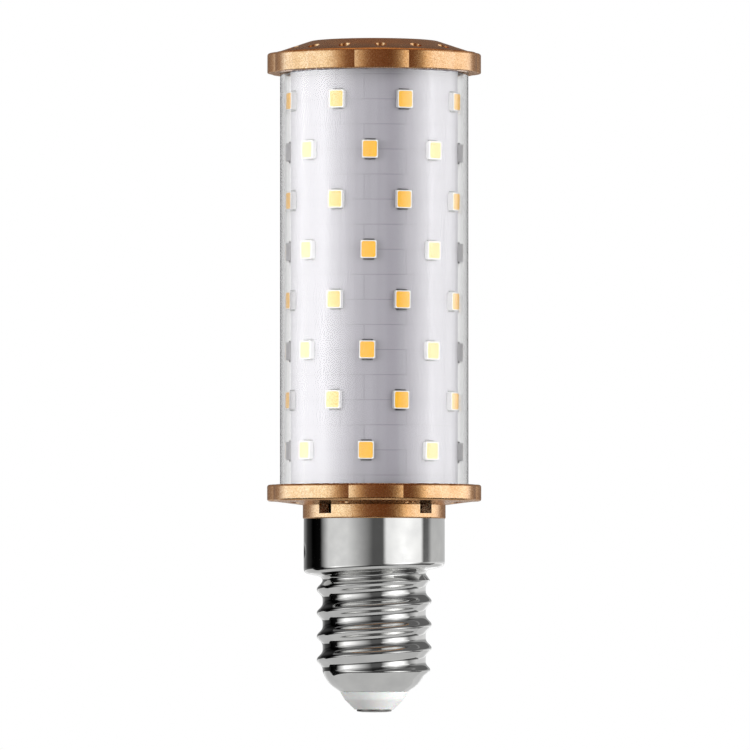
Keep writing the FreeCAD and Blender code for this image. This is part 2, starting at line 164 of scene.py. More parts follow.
CONTACT_R = 2.1
CONTACT_DEPTH = 0.35
CONTACT_FACE_R = CONTACT_R * 0.7
CONTACT_DOME = 0.03
CONTACT_EDGE_Z = 0.12
CONTACT_EDGE = 0.1
CONTACT_STEPS = 96
contact = turned("contact_disc", rounded([
    (0, CONTACT_DEPTH, 0),
    (0, 0.0, 0),
    (CONTACT_FACE_R, CONTACT_DOME, 0),
    (CONTACT_R, CONTACT_EDGE_Z, CONTACT_EDGE),
    (CONTACT_R, CONTACT_DEPTH, 0),
]), CONTACT_STEPS)

# Tinned brass: a dull grey metal, with the soft patches that hot solder sets in.
tinned, tree = new_finish("tinned_brass")
place = add_node(tree, "ShaderNodeTexCoord").outputs["Object"]
SOLDER_PATCH = 1.2 * MM
patches = add_node(tree, "ShaderNodeTexNoise", {"Vector": place, "Scale": 1 / SOLDER_PATCH, "Detail": 3.0})
tint = add_ramp(tree, patches.outputs["Fac"], [(0.3, "#8E8C8A"), (0.7, "#B9B7B4")])
dull = add_node(
    tree, "ShaderNodeMapRange", {"Value": patches.outputs["Fac"], "To Min": 0.28, "To Max": 0.45}
)
swell = add_node(tree, "ShaderNodeBump", {"Height": patches.outputs["Fac"], "Strength": 0.2, "Distance": 0.05 * MM})
metal = add_node(tree, "ShaderNodeBsdfPrincipled", {
    "Base Color": tint.outputs["Color"],
    "Metallic": 1.0,
    "Roughness": dull.outputs["Result"],
    "Normal": swell.outputs["Normal"],
})
add_node(tree, "ShaderNodeOutputMaterial", {"Surface": metal.outputs["BSDF"]})
dress(contact, tinned, "tinned_contact", "centre_contact")

# Insulator.
# A white plug moulded into the mouth of the shell, with a tapered tip that stands clear of the metal.
# Heat-proof plastic with a soft gloss, so the edges of the tip are rounded.
MOUTH_Z = 2.5
MOUTH_GAP = 0.03
PLUG_R = 3.75
PLUG_TOP_Z = MOUTH_Z + 1.6
PLUG_EDGE = 0.1
PLUG_STEPS = 128
PLUG_SHARP = 40
WIRE_HOLE_R = 0.5
TIP_R = 2.35
TIP_EDGE = 0.12
WAIST_R = 3.55
WAIST_Z = 1.55
WAIST_FILLET = 1.2
FLANGE_LIP_R = 4.1
FLANGE_LIP_EDGE = 0.05
plug = turned("insulator_plug", rounded([
    (WIRE_HOLE_R, CONTACT_DEPTH, 0),
    (TIP_R, CONTACT_DEPTH, TIP_EDGE),
    (WAIST_R, WAIST_Z, WAIST_FILLET),
    (FLANGE_LIP_R, MOUTH_Z - MOUTH_GAP, FLANGE_LIP_EDGE),
    (PLUG_R, MOUTH_Z - MOUTH_GAP, 0),
    (PLUG_R, PLUG_TOP_Z, PLUG_EDGE),
    (WIRE_HOLE_R, PLUG_TOP_Z, 0),
]), PLUG_STEPS, PLUG_SHARP)

# White glass-filled plastic: even and bright, with a faint mottle and a soft sheen.
white_plug, tree = new_finish("white_moulded_plastic")
place = add_node(tree, "ShaderNodeTexCoord").outputs["Object"]
PLUG_MOTTLE = 0.9 * MM
mottle = add_node(tree, "ShaderNodeTexNoise", {"Vector": place, "Scale": 1 / PLUG_MOTTLE, "Detail": 4.0})
tint = add_ramp(tree, mottle.outputs["Fac"], [(0.25, "#EAEAE8"), (0.75, "#F4F4F2")])
grain = add_node(tree, "ShaderNodeBump", {"Height": mottle.outputs["Fac"], "Strength": 0.15, "Distance": 0.03 * MM})
plastic = add_node(tree, "ShaderNodeBsdfPrincipled", {
    "Base Color": tint.outputs["Color"],
    "Roughness": 0.3,
    "IOR": 1.5,
    "Subsurface Weight": 0.15,
    "Subsurface Scale": 0.6 * MM,
    "Normal": grain.outputs["Normal"],
})
add_node(tree, "ShaderNodeOutputMaterial", {"Surface": plastic.outputs["BSDF"]})
dress(plug, white_plug, "white_insulator", "insulator")

# Screw shell.
# Thin steel sheet, drawn to a cup, rolled with a round right-hand thread and plated bright.
# It is pressed on the neck of the base cap, with a punch mark on each side to hold it.
MOUTH_R = 3.8
MOUTH_FOLD = 0.3
MOUTH_EDGE = 0.1
LIP_R = 4.15
LIP_EDGE = 0.15
CONE_LOW_R = 4.3
CONE_LOW_Z = MOUTH_Z + 0.15
CONE_Z = 4.95
CONE_BULGE = 0.3
BULGE_SLANT = 0.7  # the cone's bulge goes out and down by this share each
ROOT_R = 6.22
CREST_HEIGHT = 0.7
CREST_POWER = 2.0
PITCH = 2.822
CREST_Z = 4.93
THREAD_FADE_IN = (4.0, 5.5)
THREAD_FADE_OUT = (15.7, 16.9)
THREAD_TOP_Z = 15.9
SHOULDER_Z = 16.7
SHOULDER_RISE = 0.5
SHOULDER_TILT = 0.4
SHOULDER_FILLET = 0.6
SKIRT_R = 8.5
SKIRT_RING_Z = SHOULDER_Z + SHOULDER_RISE + 0.55
SKIRT_LOW_Z = SHOULDER_Z + 1.5
SHELL_TOP_Z = 23.3
SHELL_WALL = 0.3
SHELL_SHARP = 50
INNER_SHOULDER_Z = SHOULDER_Z + 1.0
OFF_THREAD = 0.02  # the shoulder's rings stay this far out of the thread's root
TINY = 1e-6
CONE_STEPS = 14
THREAD_STEPS = 170
SHOULDER_STEPS = 8
SKIRT_STEPS = 24
SHELL_STEPS = 240
PUNCH_Z = 19.4
PUNCH_R = 1.0
PUNCH_FLAT_R = 0.3
PUNCH_DEPTH = 0.18
PUNCH_ANGLES = (math.radians(188), math.radians(8))


def smooth_step(low, high, x):
    """0 below low, 1 above high and a soft rise between."""
    t = min(max((x - low) / (high - low), 0.0), 1.0)
    return t * t * (3 - 2 * t)


def ridge(a, z):
    """Height of the thread above its root: a round ridge that climbs one pitch in each turn."""
    turns = (z - CREST_Z) / PITCH - a / (2 * math.pi)
    fade = smooth_step(*THREAD_FADE_IN, z) * (1 - smooth_step(*THREAD_FADE_OUT, z))
    return CREST_HEIGHT * fade * (0.5 + 0.5 * math.cos(2 * math.pi * turns)) ** CREST_POWER


def shell_row(r, z, tilt=0.0):
    """A ring of the shell. The shoulder tilts a little, where the thread runs out into it."""
    def point(a):
        height = z + tilt * math.cos(a)
        radius = r + (ridge(a, z) if r <= ROOT_R else 0.0)
        if r == SKIRT_R:
            for punch in PUNCH_ANGLES:
                away = math.hypot(SKIRT_R * math.remainder(a - punch, 2 * math.pi), height - PUNCH_Z)
                radius -= PUNCH_DEPTH * (1 - smooth_step(PUNCH_FLAT_R, PUNCH_R, away))
        return (radius * math.cos(a), radius * math.sin(a), height)
    return point


shell_rows = []
for r, z in rounded([
    (MOUTH_R, MOUTH_Z + MOUTH_FOLD, 0),
    (MOUTH_R, MOUTH_Z, MOUTH_EDGE),
    (LIP_R, MOUTH_Z, LIP_EDGE),
    (CONE_LOW_R, CONE_LOW_Z, 0),
]):
    shell_rows.append(shell_row(r, z))
for step in range(1, CONE_STEPS):
    t = step / CONE_STEPS
    bulge = BULGE_SLANT * CONE_BULGE * math.sin(math.pi * t)
    r = CONE_LOW_R + (ROOT_R - CONE_LOW_R) * t + bulge
    z = CONE_LOW_Z + (CONE_Z - CONE_LOW_Z) * t - bulge
    shell_rows.append(shell_row(min(r, ROOT_R), z))
for step in range(THREAD_STEPS + 1):
    z = CONE_Z + (THREAD_TOP_Z - CONE_Z) * step / THREAD_STEPS
    shell_rows.append(shell_row(ROOT_R, z))
shoulder = rounded([
    (ROOT_R, THREAD_TOP_Z, 0),
    (ROOT_R, SHOULDER_Z, SHOULDER_FILLET),
    (SKIRT_R, SHOULDER_Z + SHOULDER_RISE, SHOULDER_FILLET),
    (SKIRT_R, SKIRT_RING_Z, 0),
    (SKIRT_R, SKIRT_LOW_Z, 0),
], SHOULDER_STEPS)
for r, z in shoulder[1:]:
    outer = max(r, ROOT_R + OFF_THREAD) if r < SKIRT_R - TINY else SKIRT_R
    shell_rows.append(shell_row(outer, z, SHOULDER_TILT))
for step in range(1, SKIRT_STEPS + 1):
    t = step / SKIRT_STEPS
    z = SKIRT_LOW_Z + (SHELL_TOP_Z - SKIRT_LOW_Z) * t
    shell_rows.append(shell_row(SKIRT_R, z, SHOULDER_TILT * (1 - t)))
for r, z in (
    (SKIRT_R - SHELL_WALL, SHELL_TOP_Z),
    (SKIRT_R - SHELL_WALL, INNER_SHOULDER_Z),
    (ROOT_R - SHELL_WALL, INNER_SHOULDER_Z),
    (ROOT_R - SHELL_WALL, CONE_Z),
):
    shell_rows.append(round_row(r, z))
shell = mesh_piece("screw_shell_skin", turned_rows(shell_rows, even_angles(SHELL_STEPS)), SHELL_SHARP)

# Bright nickel on steel: a mirror with the slight waviness of rolled sheet.
nickel, tree = new_finish("bright_nickel_plate")
place = add_node(tree, "ShaderNodeTexCoord").outputs["Object"]
SHEET_WAVE = 2.5 * MM
wave = add_node(tree, "ShaderNodeTexNoise", {"Vector": place, "Scale": 1 / SHEET_WAVE, "Detail": 2.0})
tint = add_ramp(tree, wave.outputs["Fac"], [(0.3, "#D9D9D8"), (0.7, "#E6E6E4")])
polish = add_node(
    tree, "ShaderNodeMapRange", {"Value": wave.outputs["Fac"], "To Min": 0.03, "To Max": 0.09}
)
swell = add_node(tree, "ShaderNodeBump", {"Height": wave.outputs["Fac"], "Strength": 0.12, "Distance": 0.04 * MM})
metal = add_node(tree, "ShaderNodeBsdfPrincipled", {
    "Base Color": tint.outputs["Color"],
    "Metallic": 1.0,
    "Roughness": polish.outputs["Result"],
    "Normal": swell.outputs["Normal"],
})
add_node(tree, "ShaderNodeOutputMaterial", {"Surface": metal.outputs["BSDF"]})
dress(shell, nickel, "plated_steel", "screw_shell")

# Base cap.
# Moulded plastic in copper-coloured metallic paint: a rim of twelve shallow lobes, vents through the
# underside, and a collar with four windows over the neck that the shell is pressed on.
FLANGE_R = 12.9
CUSP_R = 12.6
LOBES = 12
BASE_FLANGE_Z = 25.4
BASE_RIM = 2.0
BASE_PHASE = math.radians(1.0)
UNDERSIDE_R = 12.1
UNDERSIDE_DROP = 0.45
COLLAR_R = 8.6
COLLAR_DEPTH = 2.1
COLLAR_EDGE = 0.15
NECK_R = 8.15
NECK_LOW = -7.1
BORE_R = 6.95
SEAT_R = 11.4
SEAT_IN_R = 9.62
SEAT_DEPTH = 1.0
RIM_EDGE = 0.28
FLAT_START = 0.05  # a plain ring this far past a rounded edge keeps the flat beside it flat
CUSP_SHARP = 30
CUSP_REACH = 1e-4
LOBE_STEPS = 20
LOBE_HALF = math.pi / LOBES
LOBE_SAG = FLANGE_R - CUSP_R * math.cos(LOBE_HALF)
LOBE_R = ((CUSP_R * math.sin(LOBE_HALF)) ** 2 + LOBE_SAG ** 2) / (2 * LOBE_SAG)
LOBE_OFFSET = FLANGE_R - LOBE_R


def rim_row(inset, z, phase):
    """A ring that keeps a distance inside the lobed outline."""
    def point(a):
        from_lobe = math.remainder(a - phase + math.pi / 2, 2 * LOBE_HALF)
        reach = LOBE_R - inset
        r = LOBE_OFFSET * math.cos(from_lobe) + math.sqrt(reach ** 2 - (LOBE_OFFSET * math.sin(from_lobe)) ** 2)
        return (r * math.cos(a), r * math.sin(a), z)
    return point


def rim_rows(low, high, low_edge, high_edge, phase, steps=5):
    """The side of a lobed rim, with its two edges rounded."""
    rows = []
    for edge, z, direction in ((low_edge, low, 1), (high_edge, high, -1)):
        arc = []
        for step in range(steps + 1):
            turn = math.pi / 2 * step / steps
            inset = edge * (1 - math.sin(turn))
            arc.append(rim_row(inset, z + direction * edge * (1 - math.cos(turn)), phase))
        arc.append(rim_row(0.0, z + direction * (edge + FLAT_START), phase))
        rows += arc if direction == 1 else arc[::-1]
    return rows


def cap_angles(phase):
    """Angles that fall on every cusp of the rim."""
    return even_angles(LOBES * LOBE_STEPS, phase - math.pi / 2 + LOBE_HALF)


def cut_away(piece, cutters):
    """Takes the cutters out of the piece for good."""
    for cutter in cutters:
        cut = piece.modifiers.new(cutter.name, "BOOLEAN")
        cut.object = cutter
        cut.operation = "DIFFERENCE"
        cut.solver = "EXACT"
    graph = bpy.context.evaluated_depsgraph_get()
    finished = bpy.data.meshes.new_from_object(piece.evaluated_get(graph))
    piece.modifiers.clear()
    piece.data = finished
    for cutter in cutters:
        bpy.data.objects.remove(cutter, do_unlink=True)


def crisp(piece, phase):
    """Smooth shading that breaks along the cusps of the rim and at the square edges of the moulding."""
    mesh = piece.data
    mesh.shade_smooth()
    mesh.set_sharp_from_angle(angle=math.radians(CUSP_SHARP))
    first_cusp = phase - math.pi / 2 + LOBE_HALF
    for edge in mesh.edges:
        ends = [mesh.vertices[i].co for i in edge.vertices]
        edge.use_edge_sharp |= all(
            end.xy.length > SEAT_R * MM
            and abs(math.remainder(math.atan2(end.y, end.x) - first_cusp, 2 * LOBE_HALF)) < CUSP_REACH
            for end in ends
        )


VENT_RING_R = 10.5
VENT_R = 0.7
VENT_STEPS = 32


def vent_cutters(name, count, low, high, phase):
    """A ring of upright pins between two heights, for round holes that run the way the mould opens."""
    bm = bmesh.new()
    for number in range(count):
        a = phase - math.pi / 2 + 2 * math.pi * number / count
        middle = (VENT_RING_R * math.cos(a) * MM, VENT_RING_R * math.sin(a) * MM, (low + high) / 2 * MM)
        bmesh.ops.create_cone(
            bm,
            cap_ends=True,
            segments=VENT_STEPS,
            radius1=VENT_R * MM,
            radius2=VENT_R * MM,
            depth=(high - low) * MM,
            matrix=Matrix.Translation(middle),
        )
    return mesh_piece(name, bm)


base_rows = [round_row(BORE_R, BASE_RIM), round_row(BORE_R, NECK_LOW), round_row(NECK_R, NECK_LOW)]
for r, z in rounded([
    (NECK_R, -COLLAR_DEPTH, 0),
    (COLLAR_R, -COLLAR_DEPTH, COLLAR_EDGE),
    (COLLAR_R, -COLLAR_DEPTH + COLLAR_EDGE + FLAT_START, 0),
    (COLLAR_R, -UNDERSIDE_DROP, 0),
    (UNDERSIDE_R, 0.0, 0),
]):
    base_rows.append(round_row(r, z))
base_rows += rim_rows(0.0, BASE_RIM, RIM_EDGE, RIM_EDGE, BASE_PHASE)
base_rows += [round_row(SEAT_R, BASE_RIM), round_row(SEAT_R, BASE_RIM - SEAT_DEPTH)]
base_rows += [round_row(SEAT_IN_R, BASE_RIM - SEAT_DEPTH), round_row(SEAT_IN_R, BASE_RIM)]
base_cap = mesh_piece("base_cap_moulding", turned_rows(base_rows, cap_angles(BASE_PHASE)))

BASE_VENTS = 8
BASE_VENT_PHASE = math.radians(24.5)
BASE_VENT_LOW = -1.0
BASE_VENT_HIGH = BASE_RIM - SEAT_DEPTH - 0.2
WINDOW_WIDTH = 2.0
WINDOW_HEIGHT = 1.2
WINDOW_DROP = 0.3
WINDOW_IN = 3.0
WINDOW_MIDDLE_R = 7.6
WINDOWS = 4
WINDOW_START = 46.5
windows = bmesh.new()
for number in range(WINDOWS):
    angle = math.radians(WINDOW_START + 360 * number / WINDOWS)
    box = bmesh.ops.create_cube(windows, size=1.0)["verts"]
    bmesh.ops.scale(windows, vec=(WINDOW_IN * MM, WINDOW_WIDTH * MM, WINDOW_HEIGHT * MM), verts=box)
    middle = Vector((WINDOW_MIDDLE_R * MM, 0, (-WINDOW_DROP - WINDOW_HEIGHT / 2) * MM))
    bmesh.ops.translate(windows, vec=middle, verts=box)
    bmesh.ops.rotate(windows, matrix=Matrix.Rotation(angle - math.pi / 2, 3, "Z"), verts=box)
cut_away(base_cap, [
    mesh_piece("window_cutter", windows),
    vent_cutters("base_vent_cutter", BASE_VENTS, BASE_VENT_LOW, BASE_VENT_HIGH, BASE_VENT_PHASE),
])
crisp(base_cap, BASE_PHASE)
base_cap.data.transform(Matrix.Translation((0, 0, BASE_FLANGE_Z * MM)))

# Copper-coloured metallic paint: fine flakes in a clear binder. The flakes are about 0.03 mm across, too
# fine for the picture, so they are drawn at 0.1 mm to show as the speckle the paint has.
copper_paint, tree = new_finish("copper_metallic_paint")
place = add_node(tree, "ShaderNodeTexCoord").outputs["Object"]
FLAKE = 0.1 * MM
PAINT_CLOUD = 2.0 * MM
flakes = add_node(tree, "ShaderNodeTexVoronoi", {"Vector": place, "Scale": 1 / FLAKE})
flake_tone = add_node(tree, "ShaderNodeSeparateColor", {"Color": flakes.outputs["Color"]})
cloud = add_node(tree, "ShaderNodeTexNoise", {"Vector": place, "Scale": 1 / PAINT_CLOUD, "Detail": 3.0})
mixed = add_node(
    tree,
    "ShaderNodeMath",
    {0: flake_tone.outputs["Red"], 1: cloud.outputs["Fac"]},
    operation="MULTIPLY",
)
tint = add_ramp(tree, mixed.outputs[0], [(0.0, "#C8925C"), (0.3, "#DDA874"), (0.75, "#F2C694")])
sparkle = add_node(
    tree, "ShaderNodeMapRange", {"Value": flake_tone.outputs["Green"], "To Min": 0.17, "To Max": 0.3}
)
tilted = add_node(
    tree, "ShaderNodeBump", {"Height": flake_tone.outputs["Blue"], "Strength": 0.12, "Distance": 0.02 * MM}
)
paint = add_node(tree, "ShaderNodeBsdfPrincipled", {
    "Base Color": tint.outputs["Color"],
    "Metallic": 1.0,
    "Roughness": sparkle.outputs["Result"],
    "Normal": tilted.outputs["Normal"],
})
add_node(tree, "ShaderNodeOutputMaterial", {"Surface": paint.outputs["BSDF"]})
dress(base_cap, copper_paint, "copper_painted_plastic", "base_cap")

# Driver board and its parts.
# Glass-fibre board standing in the guides of the base cap, with a rectifier, a driver chip, chip
# resistors and a fuse on its front and a smoothing capacitor on its back. All of it is closed in.


def plain_finish(name, dark, pale, grain_mm, roughness, metallic=0.0):
    """A finish with a mottle of two close colours, at a grain size in mm."""
    finish, tree = new_finish(name)
    place = add_node(tree, "ShaderNodeTexCoord").outputs["Object"]
    mottle = add_node(tree, "ShaderNodeTexNoise", {"Vector": place, "Scale": 1 / (grain_mm * MM), "Detail": 3.0})
    tint = add_ramp(tree, mottle.outputs["Fac"], [(0.3, dark), (0.7, pale)])
    surface = add_node(tree, "ShaderNodeBsdfPrincipled", {
        "Base Color": tint.outputs["Color"],
        "Metallic": metallic,
        "Roughness": roughness,
    })
    add_node(tree, "ShaderNodeOutputMaterial", {"Surface": surface.outputs["BSDF"]})
    return finish


# Solder mask, moulded epoxy, lacquer, drawn aluminium and soft wire sleeves: each one even colour with a faint
# mottle, dull on the epoxy, a soft gloss on the mask, the lacquer and the sleeves, and a shine on the aluminium.
inner_finishes = {
    "driver_board": plain_finish("green_solder_mask", "#1E5B33", "#2A7042", 0.6, 0.4),
    "bridge_rectifier": plain_finish("black_epoxy", "#161616", "#242424", 0.3, 0.55),
    "fuse_resistor": plain_finish("green_lacquer", "#5E8F6E", "#74A884", 0.5, 0.35),
    "smoothing_capacitor": plain_finish("drawn_aluminium", "#B4B5B8", "#CBCCCE", 0.8, 0.3, 1.0),
    "live_wire": plain_finish("red_wire_sleeve", "#9E1A17", "#B5221E", 0.7, 0.4),
    "neutral_wire": plain_finish("black_wire_sleeve", "#1B1B1C", "#29292A", 0.7, 0.4),
}
inner_finishes["driver_chip"] = inner_finishes["bridge_rectifier"]
inner_finishes["chip_resistors"] = inner_finishes["bridge_rectifier"]
inner_finishes["led_plus_wire"] = inner_finishes["live_wire"]
inner_finishes["led_minus_wire"] = inner_finishes["neutral_wire"]
for node_name, finish in inner_finishes.items():
    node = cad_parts[node_name]
    node.data.materials.clear()
    node.data.materials.append(finish)

# Lamp board.
# Thin aluminium-cored sheet under white solder mask, rolled to a tube with its seam at the back.
# The copper under the mask shows as faint lines where one pad ends and the next begins.
BOARD_R = 10.068
BOARD_WALL = 0.4
TUBE_Z = 27.4
TUBE_LENGTH = 49.6
BOARD_LOW = TUBE_Z - SEAT_DEPTH
BOARD_HIGH = TUBE_Z + TUBE_LENGTH + SEAT_DEPTH
SEAM = 0.6
SEAM_HALF = SEAM / 2 / BOARD_R
BOARD_STEPS = 256
board_bm = bmesh.new()
loops = []
for r, z in (
    (BOARD_R, BOARD_LOW),
    (BOARD_R, BOARD_HIGH),
    (BOARD_R - BOARD_WALL, BOARD_HIGH),
    (BOARD_R - BOARD_WALL, BOARD_LOW),
):
    loop = []
    for step in range(BOARD_STEPS + 1):
        a = math.pi / 2 + SEAM_HALF + (2 * math.pi - 2 * SEAM_HALF) * step / BOARD_STEPS
        loop.append(board_bm.verts.new((r * math.cos(a) * MM, r * math.sin(a) * MM, z * MM)))
    loops.append(loop)
for lower, upper in zip(loops, loops[1:] + loops[:1]):
    for step in range(BOARD_STEPS):
        board_bm.faces.new((lower[step], lower[step + 1], upper[step + 1], upper[step]))
for end in (0, BOARD_STEPS):
    board_bm.faces.new([loop[end] for loop in loops])
board = mesh_piece("lamp_board_sheet", board_bm)

# White solder mask: a milky semi-gloss, a hair darker along the gaps between the pads below it.
mask, tree = new_finish("white_solder_mask")
place = add_node(tree, "ShaderNodeTexCoord").outputs["Object"]
axes = add_node(tree, "ShaderNodeSeparateXYZ", {"Vector": place})
minus_y = add_node(tree, "ShaderNodeMath", {0: axes.outputs["Y"], 1: -1.0}, operation="MULTIPLY")
around = add_node(tree, "ShaderNodeMath", {0: axes.outputs["X"], 1: minus_y.outputs[0]}, operation="ARCTAN2")
PADS_ROUND = 8
PAD_WIDTH = 2 * math.pi * BOARD_R / PADS_ROUND * MM
PAD_HEIGHT = 3.0 * MM
PAD_STAGGER = 0.36
GAP_WIDTH = 0.12 * MM
PAD_SHIFT = (1.2 * MM, 1.6 * MM)
arc = add_node(
    tree, "ShaderNodeMath", {0: around.outputs[0], 1: BOARD_R * MM, 2: PAD_SHIFT[0]}, operation="MULTIPLY_ADD"
)
rise = add_node(tree, "ShaderNodeMath", {0: axes.outputs["Z"], 1: PAD_SHIFT[1]}, operation="ADD")
unrolled = add_node(tree, "ShaderNodeCombineXYZ", {"X": arc.outputs[0], "Y": rise.outputs[0]})
pads = add_node(tree, "ShaderNodeTexBrick", {
    "Vector": unrolled.outputs["Vector"],
    "Color1": linear("#A29FA7"),
    "Color2": linear("#A09DA5"),
    "Mortar": linear("#8D8A92"),
    "Scale": 1.0,
    "Mortar Size": GAP_WIDTH / 2,
    "Mortar Smooth": 0.3,
    "Brick Width": PAD_WIDTH,
    "Row Height": PAD_HEIGHT,
}, offset=PAD_STAGGER)
dip = add_node(tree, "ShaderNodeBump", {
    "Height": pads.outputs["Fac"],
    "Strength": 0.2,
    "Distance": 0.03 * MM,
}, invert=True)
milky = add_node(tree, "ShaderNodeBsdfPrincipled", {
    "Base Color": pads.outputs["Color"],
    "Roughness": 0.38,
    "IOR": 1.5,
    "Normal": dip.outputs["Normal"],
})
add_node(tree, "ShaderNodeOutputMaterial", {"Surface": milky.outputs["BSDF"]})
dress(board, mask, "white_board", "led_board")

# Lamps.
# Soldered packages: a white moulded case, yellow phosphor gel in the cup of its face, a flat tab at each end.
# Eight stand round the board in a row. Each row is half a step on, and a little more as the board is wrapped.
LED_WIDTH = 1.9
LED_LENGTH = 2.15
LED_BACK_R = 10.088
LED_HEIGHT = 0.62
LED_CORNER = 0.08
FRAME = 0.11
CUP_DEPTH = 0.16
CUP_CORNER = 0.16
CUP_TAPER = 0.1
CUP_FOOT_CORNER = 0.14
EDGE = 0.05
GEL_DROP = 0.04
GEL_GAP = 0.02
GEL_CORNER = 0.15
GEL_TAPER = 0.09
GEL_FOOT = 0.005
GEL_CREEP = 0.02
GEL_DISH = 0.2
TAB_WIDTH = 1.3
TAB_LENGTH = 0.2
TAB_HEIGHT = 0.2
TAB_EDGE = 0.04
LAMP_SHARP = 25
ROWS = 8
ROUND = 8
ROW_START = 4.0
ROW_PITCH = 6.0
ROW_PHASE = -5.3
ROW_TWIST = 0.43
WRAP_SKEW = 0.5


def lamp_loop(bm, width, length, out, corner):
    """A rectangle square to the radius, with its corners cut, at a height above the board."""
    side, end = width / 2, length / 2
    outline = [
        (-side, -end + corner), (-side + corner, -end), (side - corner, -end), (side, -end + corner),
        (side, end - corner), (side - corner, end), (-side + corner, end), (-side, end - corner),
    ]
    return [bm.verts.new((x * MM, -(LED_BACK_R + out) * MM, z * MM)) for x, z in outline]


def skin(bm, loops):
    """Faces from each loop to the next, and over the first and the last."""
    for lower, upper in zip(loops, loops[1:]):
        for i in range(len(lower)):
            j = (i + 1) % len(lower)
            bm.faces.new((lower[i], lower[j], upper[j], upper[i]))
    bm.faces.new(loops[0])
    bm.faces.new(loops[-1])


def lamp_case():
    """One case, from its back round the edge of its face and down into the cup."""
    bm = bmesh.new()
    cup_width = LED_WIDTH - 2 * FRAME
    cup_length = LED_LENGTH - 2 * FRAME
    skin(bm, [
        lamp_loop(bm, LED_WIDTH, LED_LENGTH, 0.0, LED_CORNER),
        lamp_loop(bm, LED_WIDTH, LED_LENGTH, LED_HEIGHT - EDGE, LED_CORNER),
        lamp_loop(bm, LED_WIDTH - EDGE, LED_LENGTH - EDGE, LED_HEIGHT, LED_CORNER),
        lamp_loop(bm, cup_width, cup_length, LED_HEIGHT, CUP_CORNER),
        lamp_loop(bm, cup_width - CUP_TAPER, cup_length - CUP_TAPER, LED_HEIGHT - CUP_DEPTH, CUP_FOOT_CORNER),
    ])
    return bm


def phosphor_fill():
    """The gel of one cup, a little below the face and dished in the middle."""
    bm = bmesh.new()
    width = LED_WIDTH - 2 * FRAME - GEL_GAP
    length = LED_LENGTH - 2 * FRAME - GEL_GAP
    face = LED_HEIGHT - GEL_DROP
    foot = LED_HEIGHT - CUP_DEPTH + GEL_FOOT
    skin(bm, [
        lamp_loop(bm, width - GEL_TAPER, length - GEL_TAPER, foot, CUP_FOOT_CORNER),
        lamp_loop(bm, width, length, face + GEL_CREEP, GEL_CORNER),
        lamp_loop(bm, width - GEL_DISH, length - GEL_DISH, face, GEL_CORNER),
    ])
    return bm


def solder_tabs():
    """The two tabs of one lamp."""
    bm = bmesh.new()
    for end in (-1, 1):
        tab = bmesh.ops.create_cube(bm, size=1.0)["verts"]
        bmesh.ops.scale(bm, vec=(TAB_WIDTH * MM, TAB_HEIGHT * MM, TAB_LENGTH * MM), verts=tab)
        middle = (0, -(LED_BACK_R + TAB_HEIGHT / 2) * MM, end * (LED_LENGTH + TAB_LENGTH) / 2 * MM)
        bmesh.ops.translate(bm, vec=middle, verts=tab)
    bmesh.ops.bevel(bm, geom=bm.edges[:], offset=TAB_EDGE * MM, segments=2, affect="EDGES")
    return bm


def lamp_row(name, row, make):
    """One row of a lamp piece, set round the board."""
    bm = bmesh.new()
    yaw = math.radians(ROW_PHASE + ROW_TWIST * row + (row % 2) * 180 / ROUND)
    level = (TUBE_Z + ROW_START + ROW_PITCH * row) * MM
    stand = (
        Matrix.Translation((0, 0, level))
        @ Matrix.Rotation(yaw, 4, "Z")
        @ Matrix.Rotation(math.radians(WRAP_SKEW), 4, "Y")
    )
    for number in range(ROUND):
        one = make()
        bmesh.ops.recalc_face_normals(one, faces=one.faces)
        one.transform(stand @ Matrix.Rotation(2 * math.pi * number / ROUND, 4, "Z"))
        mesh = bpy.data.meshes.new("one")
        one.to_mesh(mesh)
        one.free()
        bm.from_mesh(mesh)
        bpy.data.meshes.remove(mesh)
    return mesh_piece(name, bm, LAMP_SHARP)


# White moulded nylon: bright on the face, with a soft gloss. The sides carry painted shade: each wall is tinted
# greyer as it turns away from the outward direction.
case_white, tree = new_finish("white_moulded_nylon")
place = add_node(tree, "ShaderNodeTexCoord").outputs["Object"]
CASE_GRAIN = 0.3 * MM
mottle = add_node(tree, "ShaderNodeTexNoise", {"Vector": place, "Scale": 1 / CASE_GRAIN, "Detail": 2.0})
tint = add_ramp(tree, mottle.outputs["Fac"], [(0.3, "#F1F0EC"), (0.7, "#FAF9F6")])
level_place = add_node(tree, "ShaderNodeVectorMath", {0: place, 1: (1.0, 1.0, 0.0)}, operation="MULTIPLY")
outward = add_node(tree, "ShaderNodeVectorMath", {0: level_place.outputs[0]}, operation="NORMALIZE")
square = add_node(tree, "ShaderNodeNewGeometry")
faces_out = add_node(
    tree, "ShaderNodeVectorMath", {0: outward.outputs[0], 1: square.outputs["Normal"]}, operation="DOT_PRODUCT"
)
# Painted shade: walls that face away from the outward direction are tinted grey.
painted_side_shade = add_ramp(tree, faces_out.outputs["Value"], [(0.4, "#D0CFD4"), (0.75, "#FFFFFF")])
cased = add_node(tree, "ShaderNodeMix", {
    "Factor": 1.0,
    6: tint.outputs["Color"],
    7: painted_side_shade.outputs["Color"],
}, data_type="RGBA", blend_type="MULTIPLY")
nylon = add_node(tree, "ShaderNodeBsdfPrincipled", {
    "Base Color": cased.outputs[2],
    "Roughness": 0.35,
    "IOR": 1.5,
})
add_node(tree, "ShaderNodeOutputMaterial", {"Surface": nylon.outputs["BSDF"]})

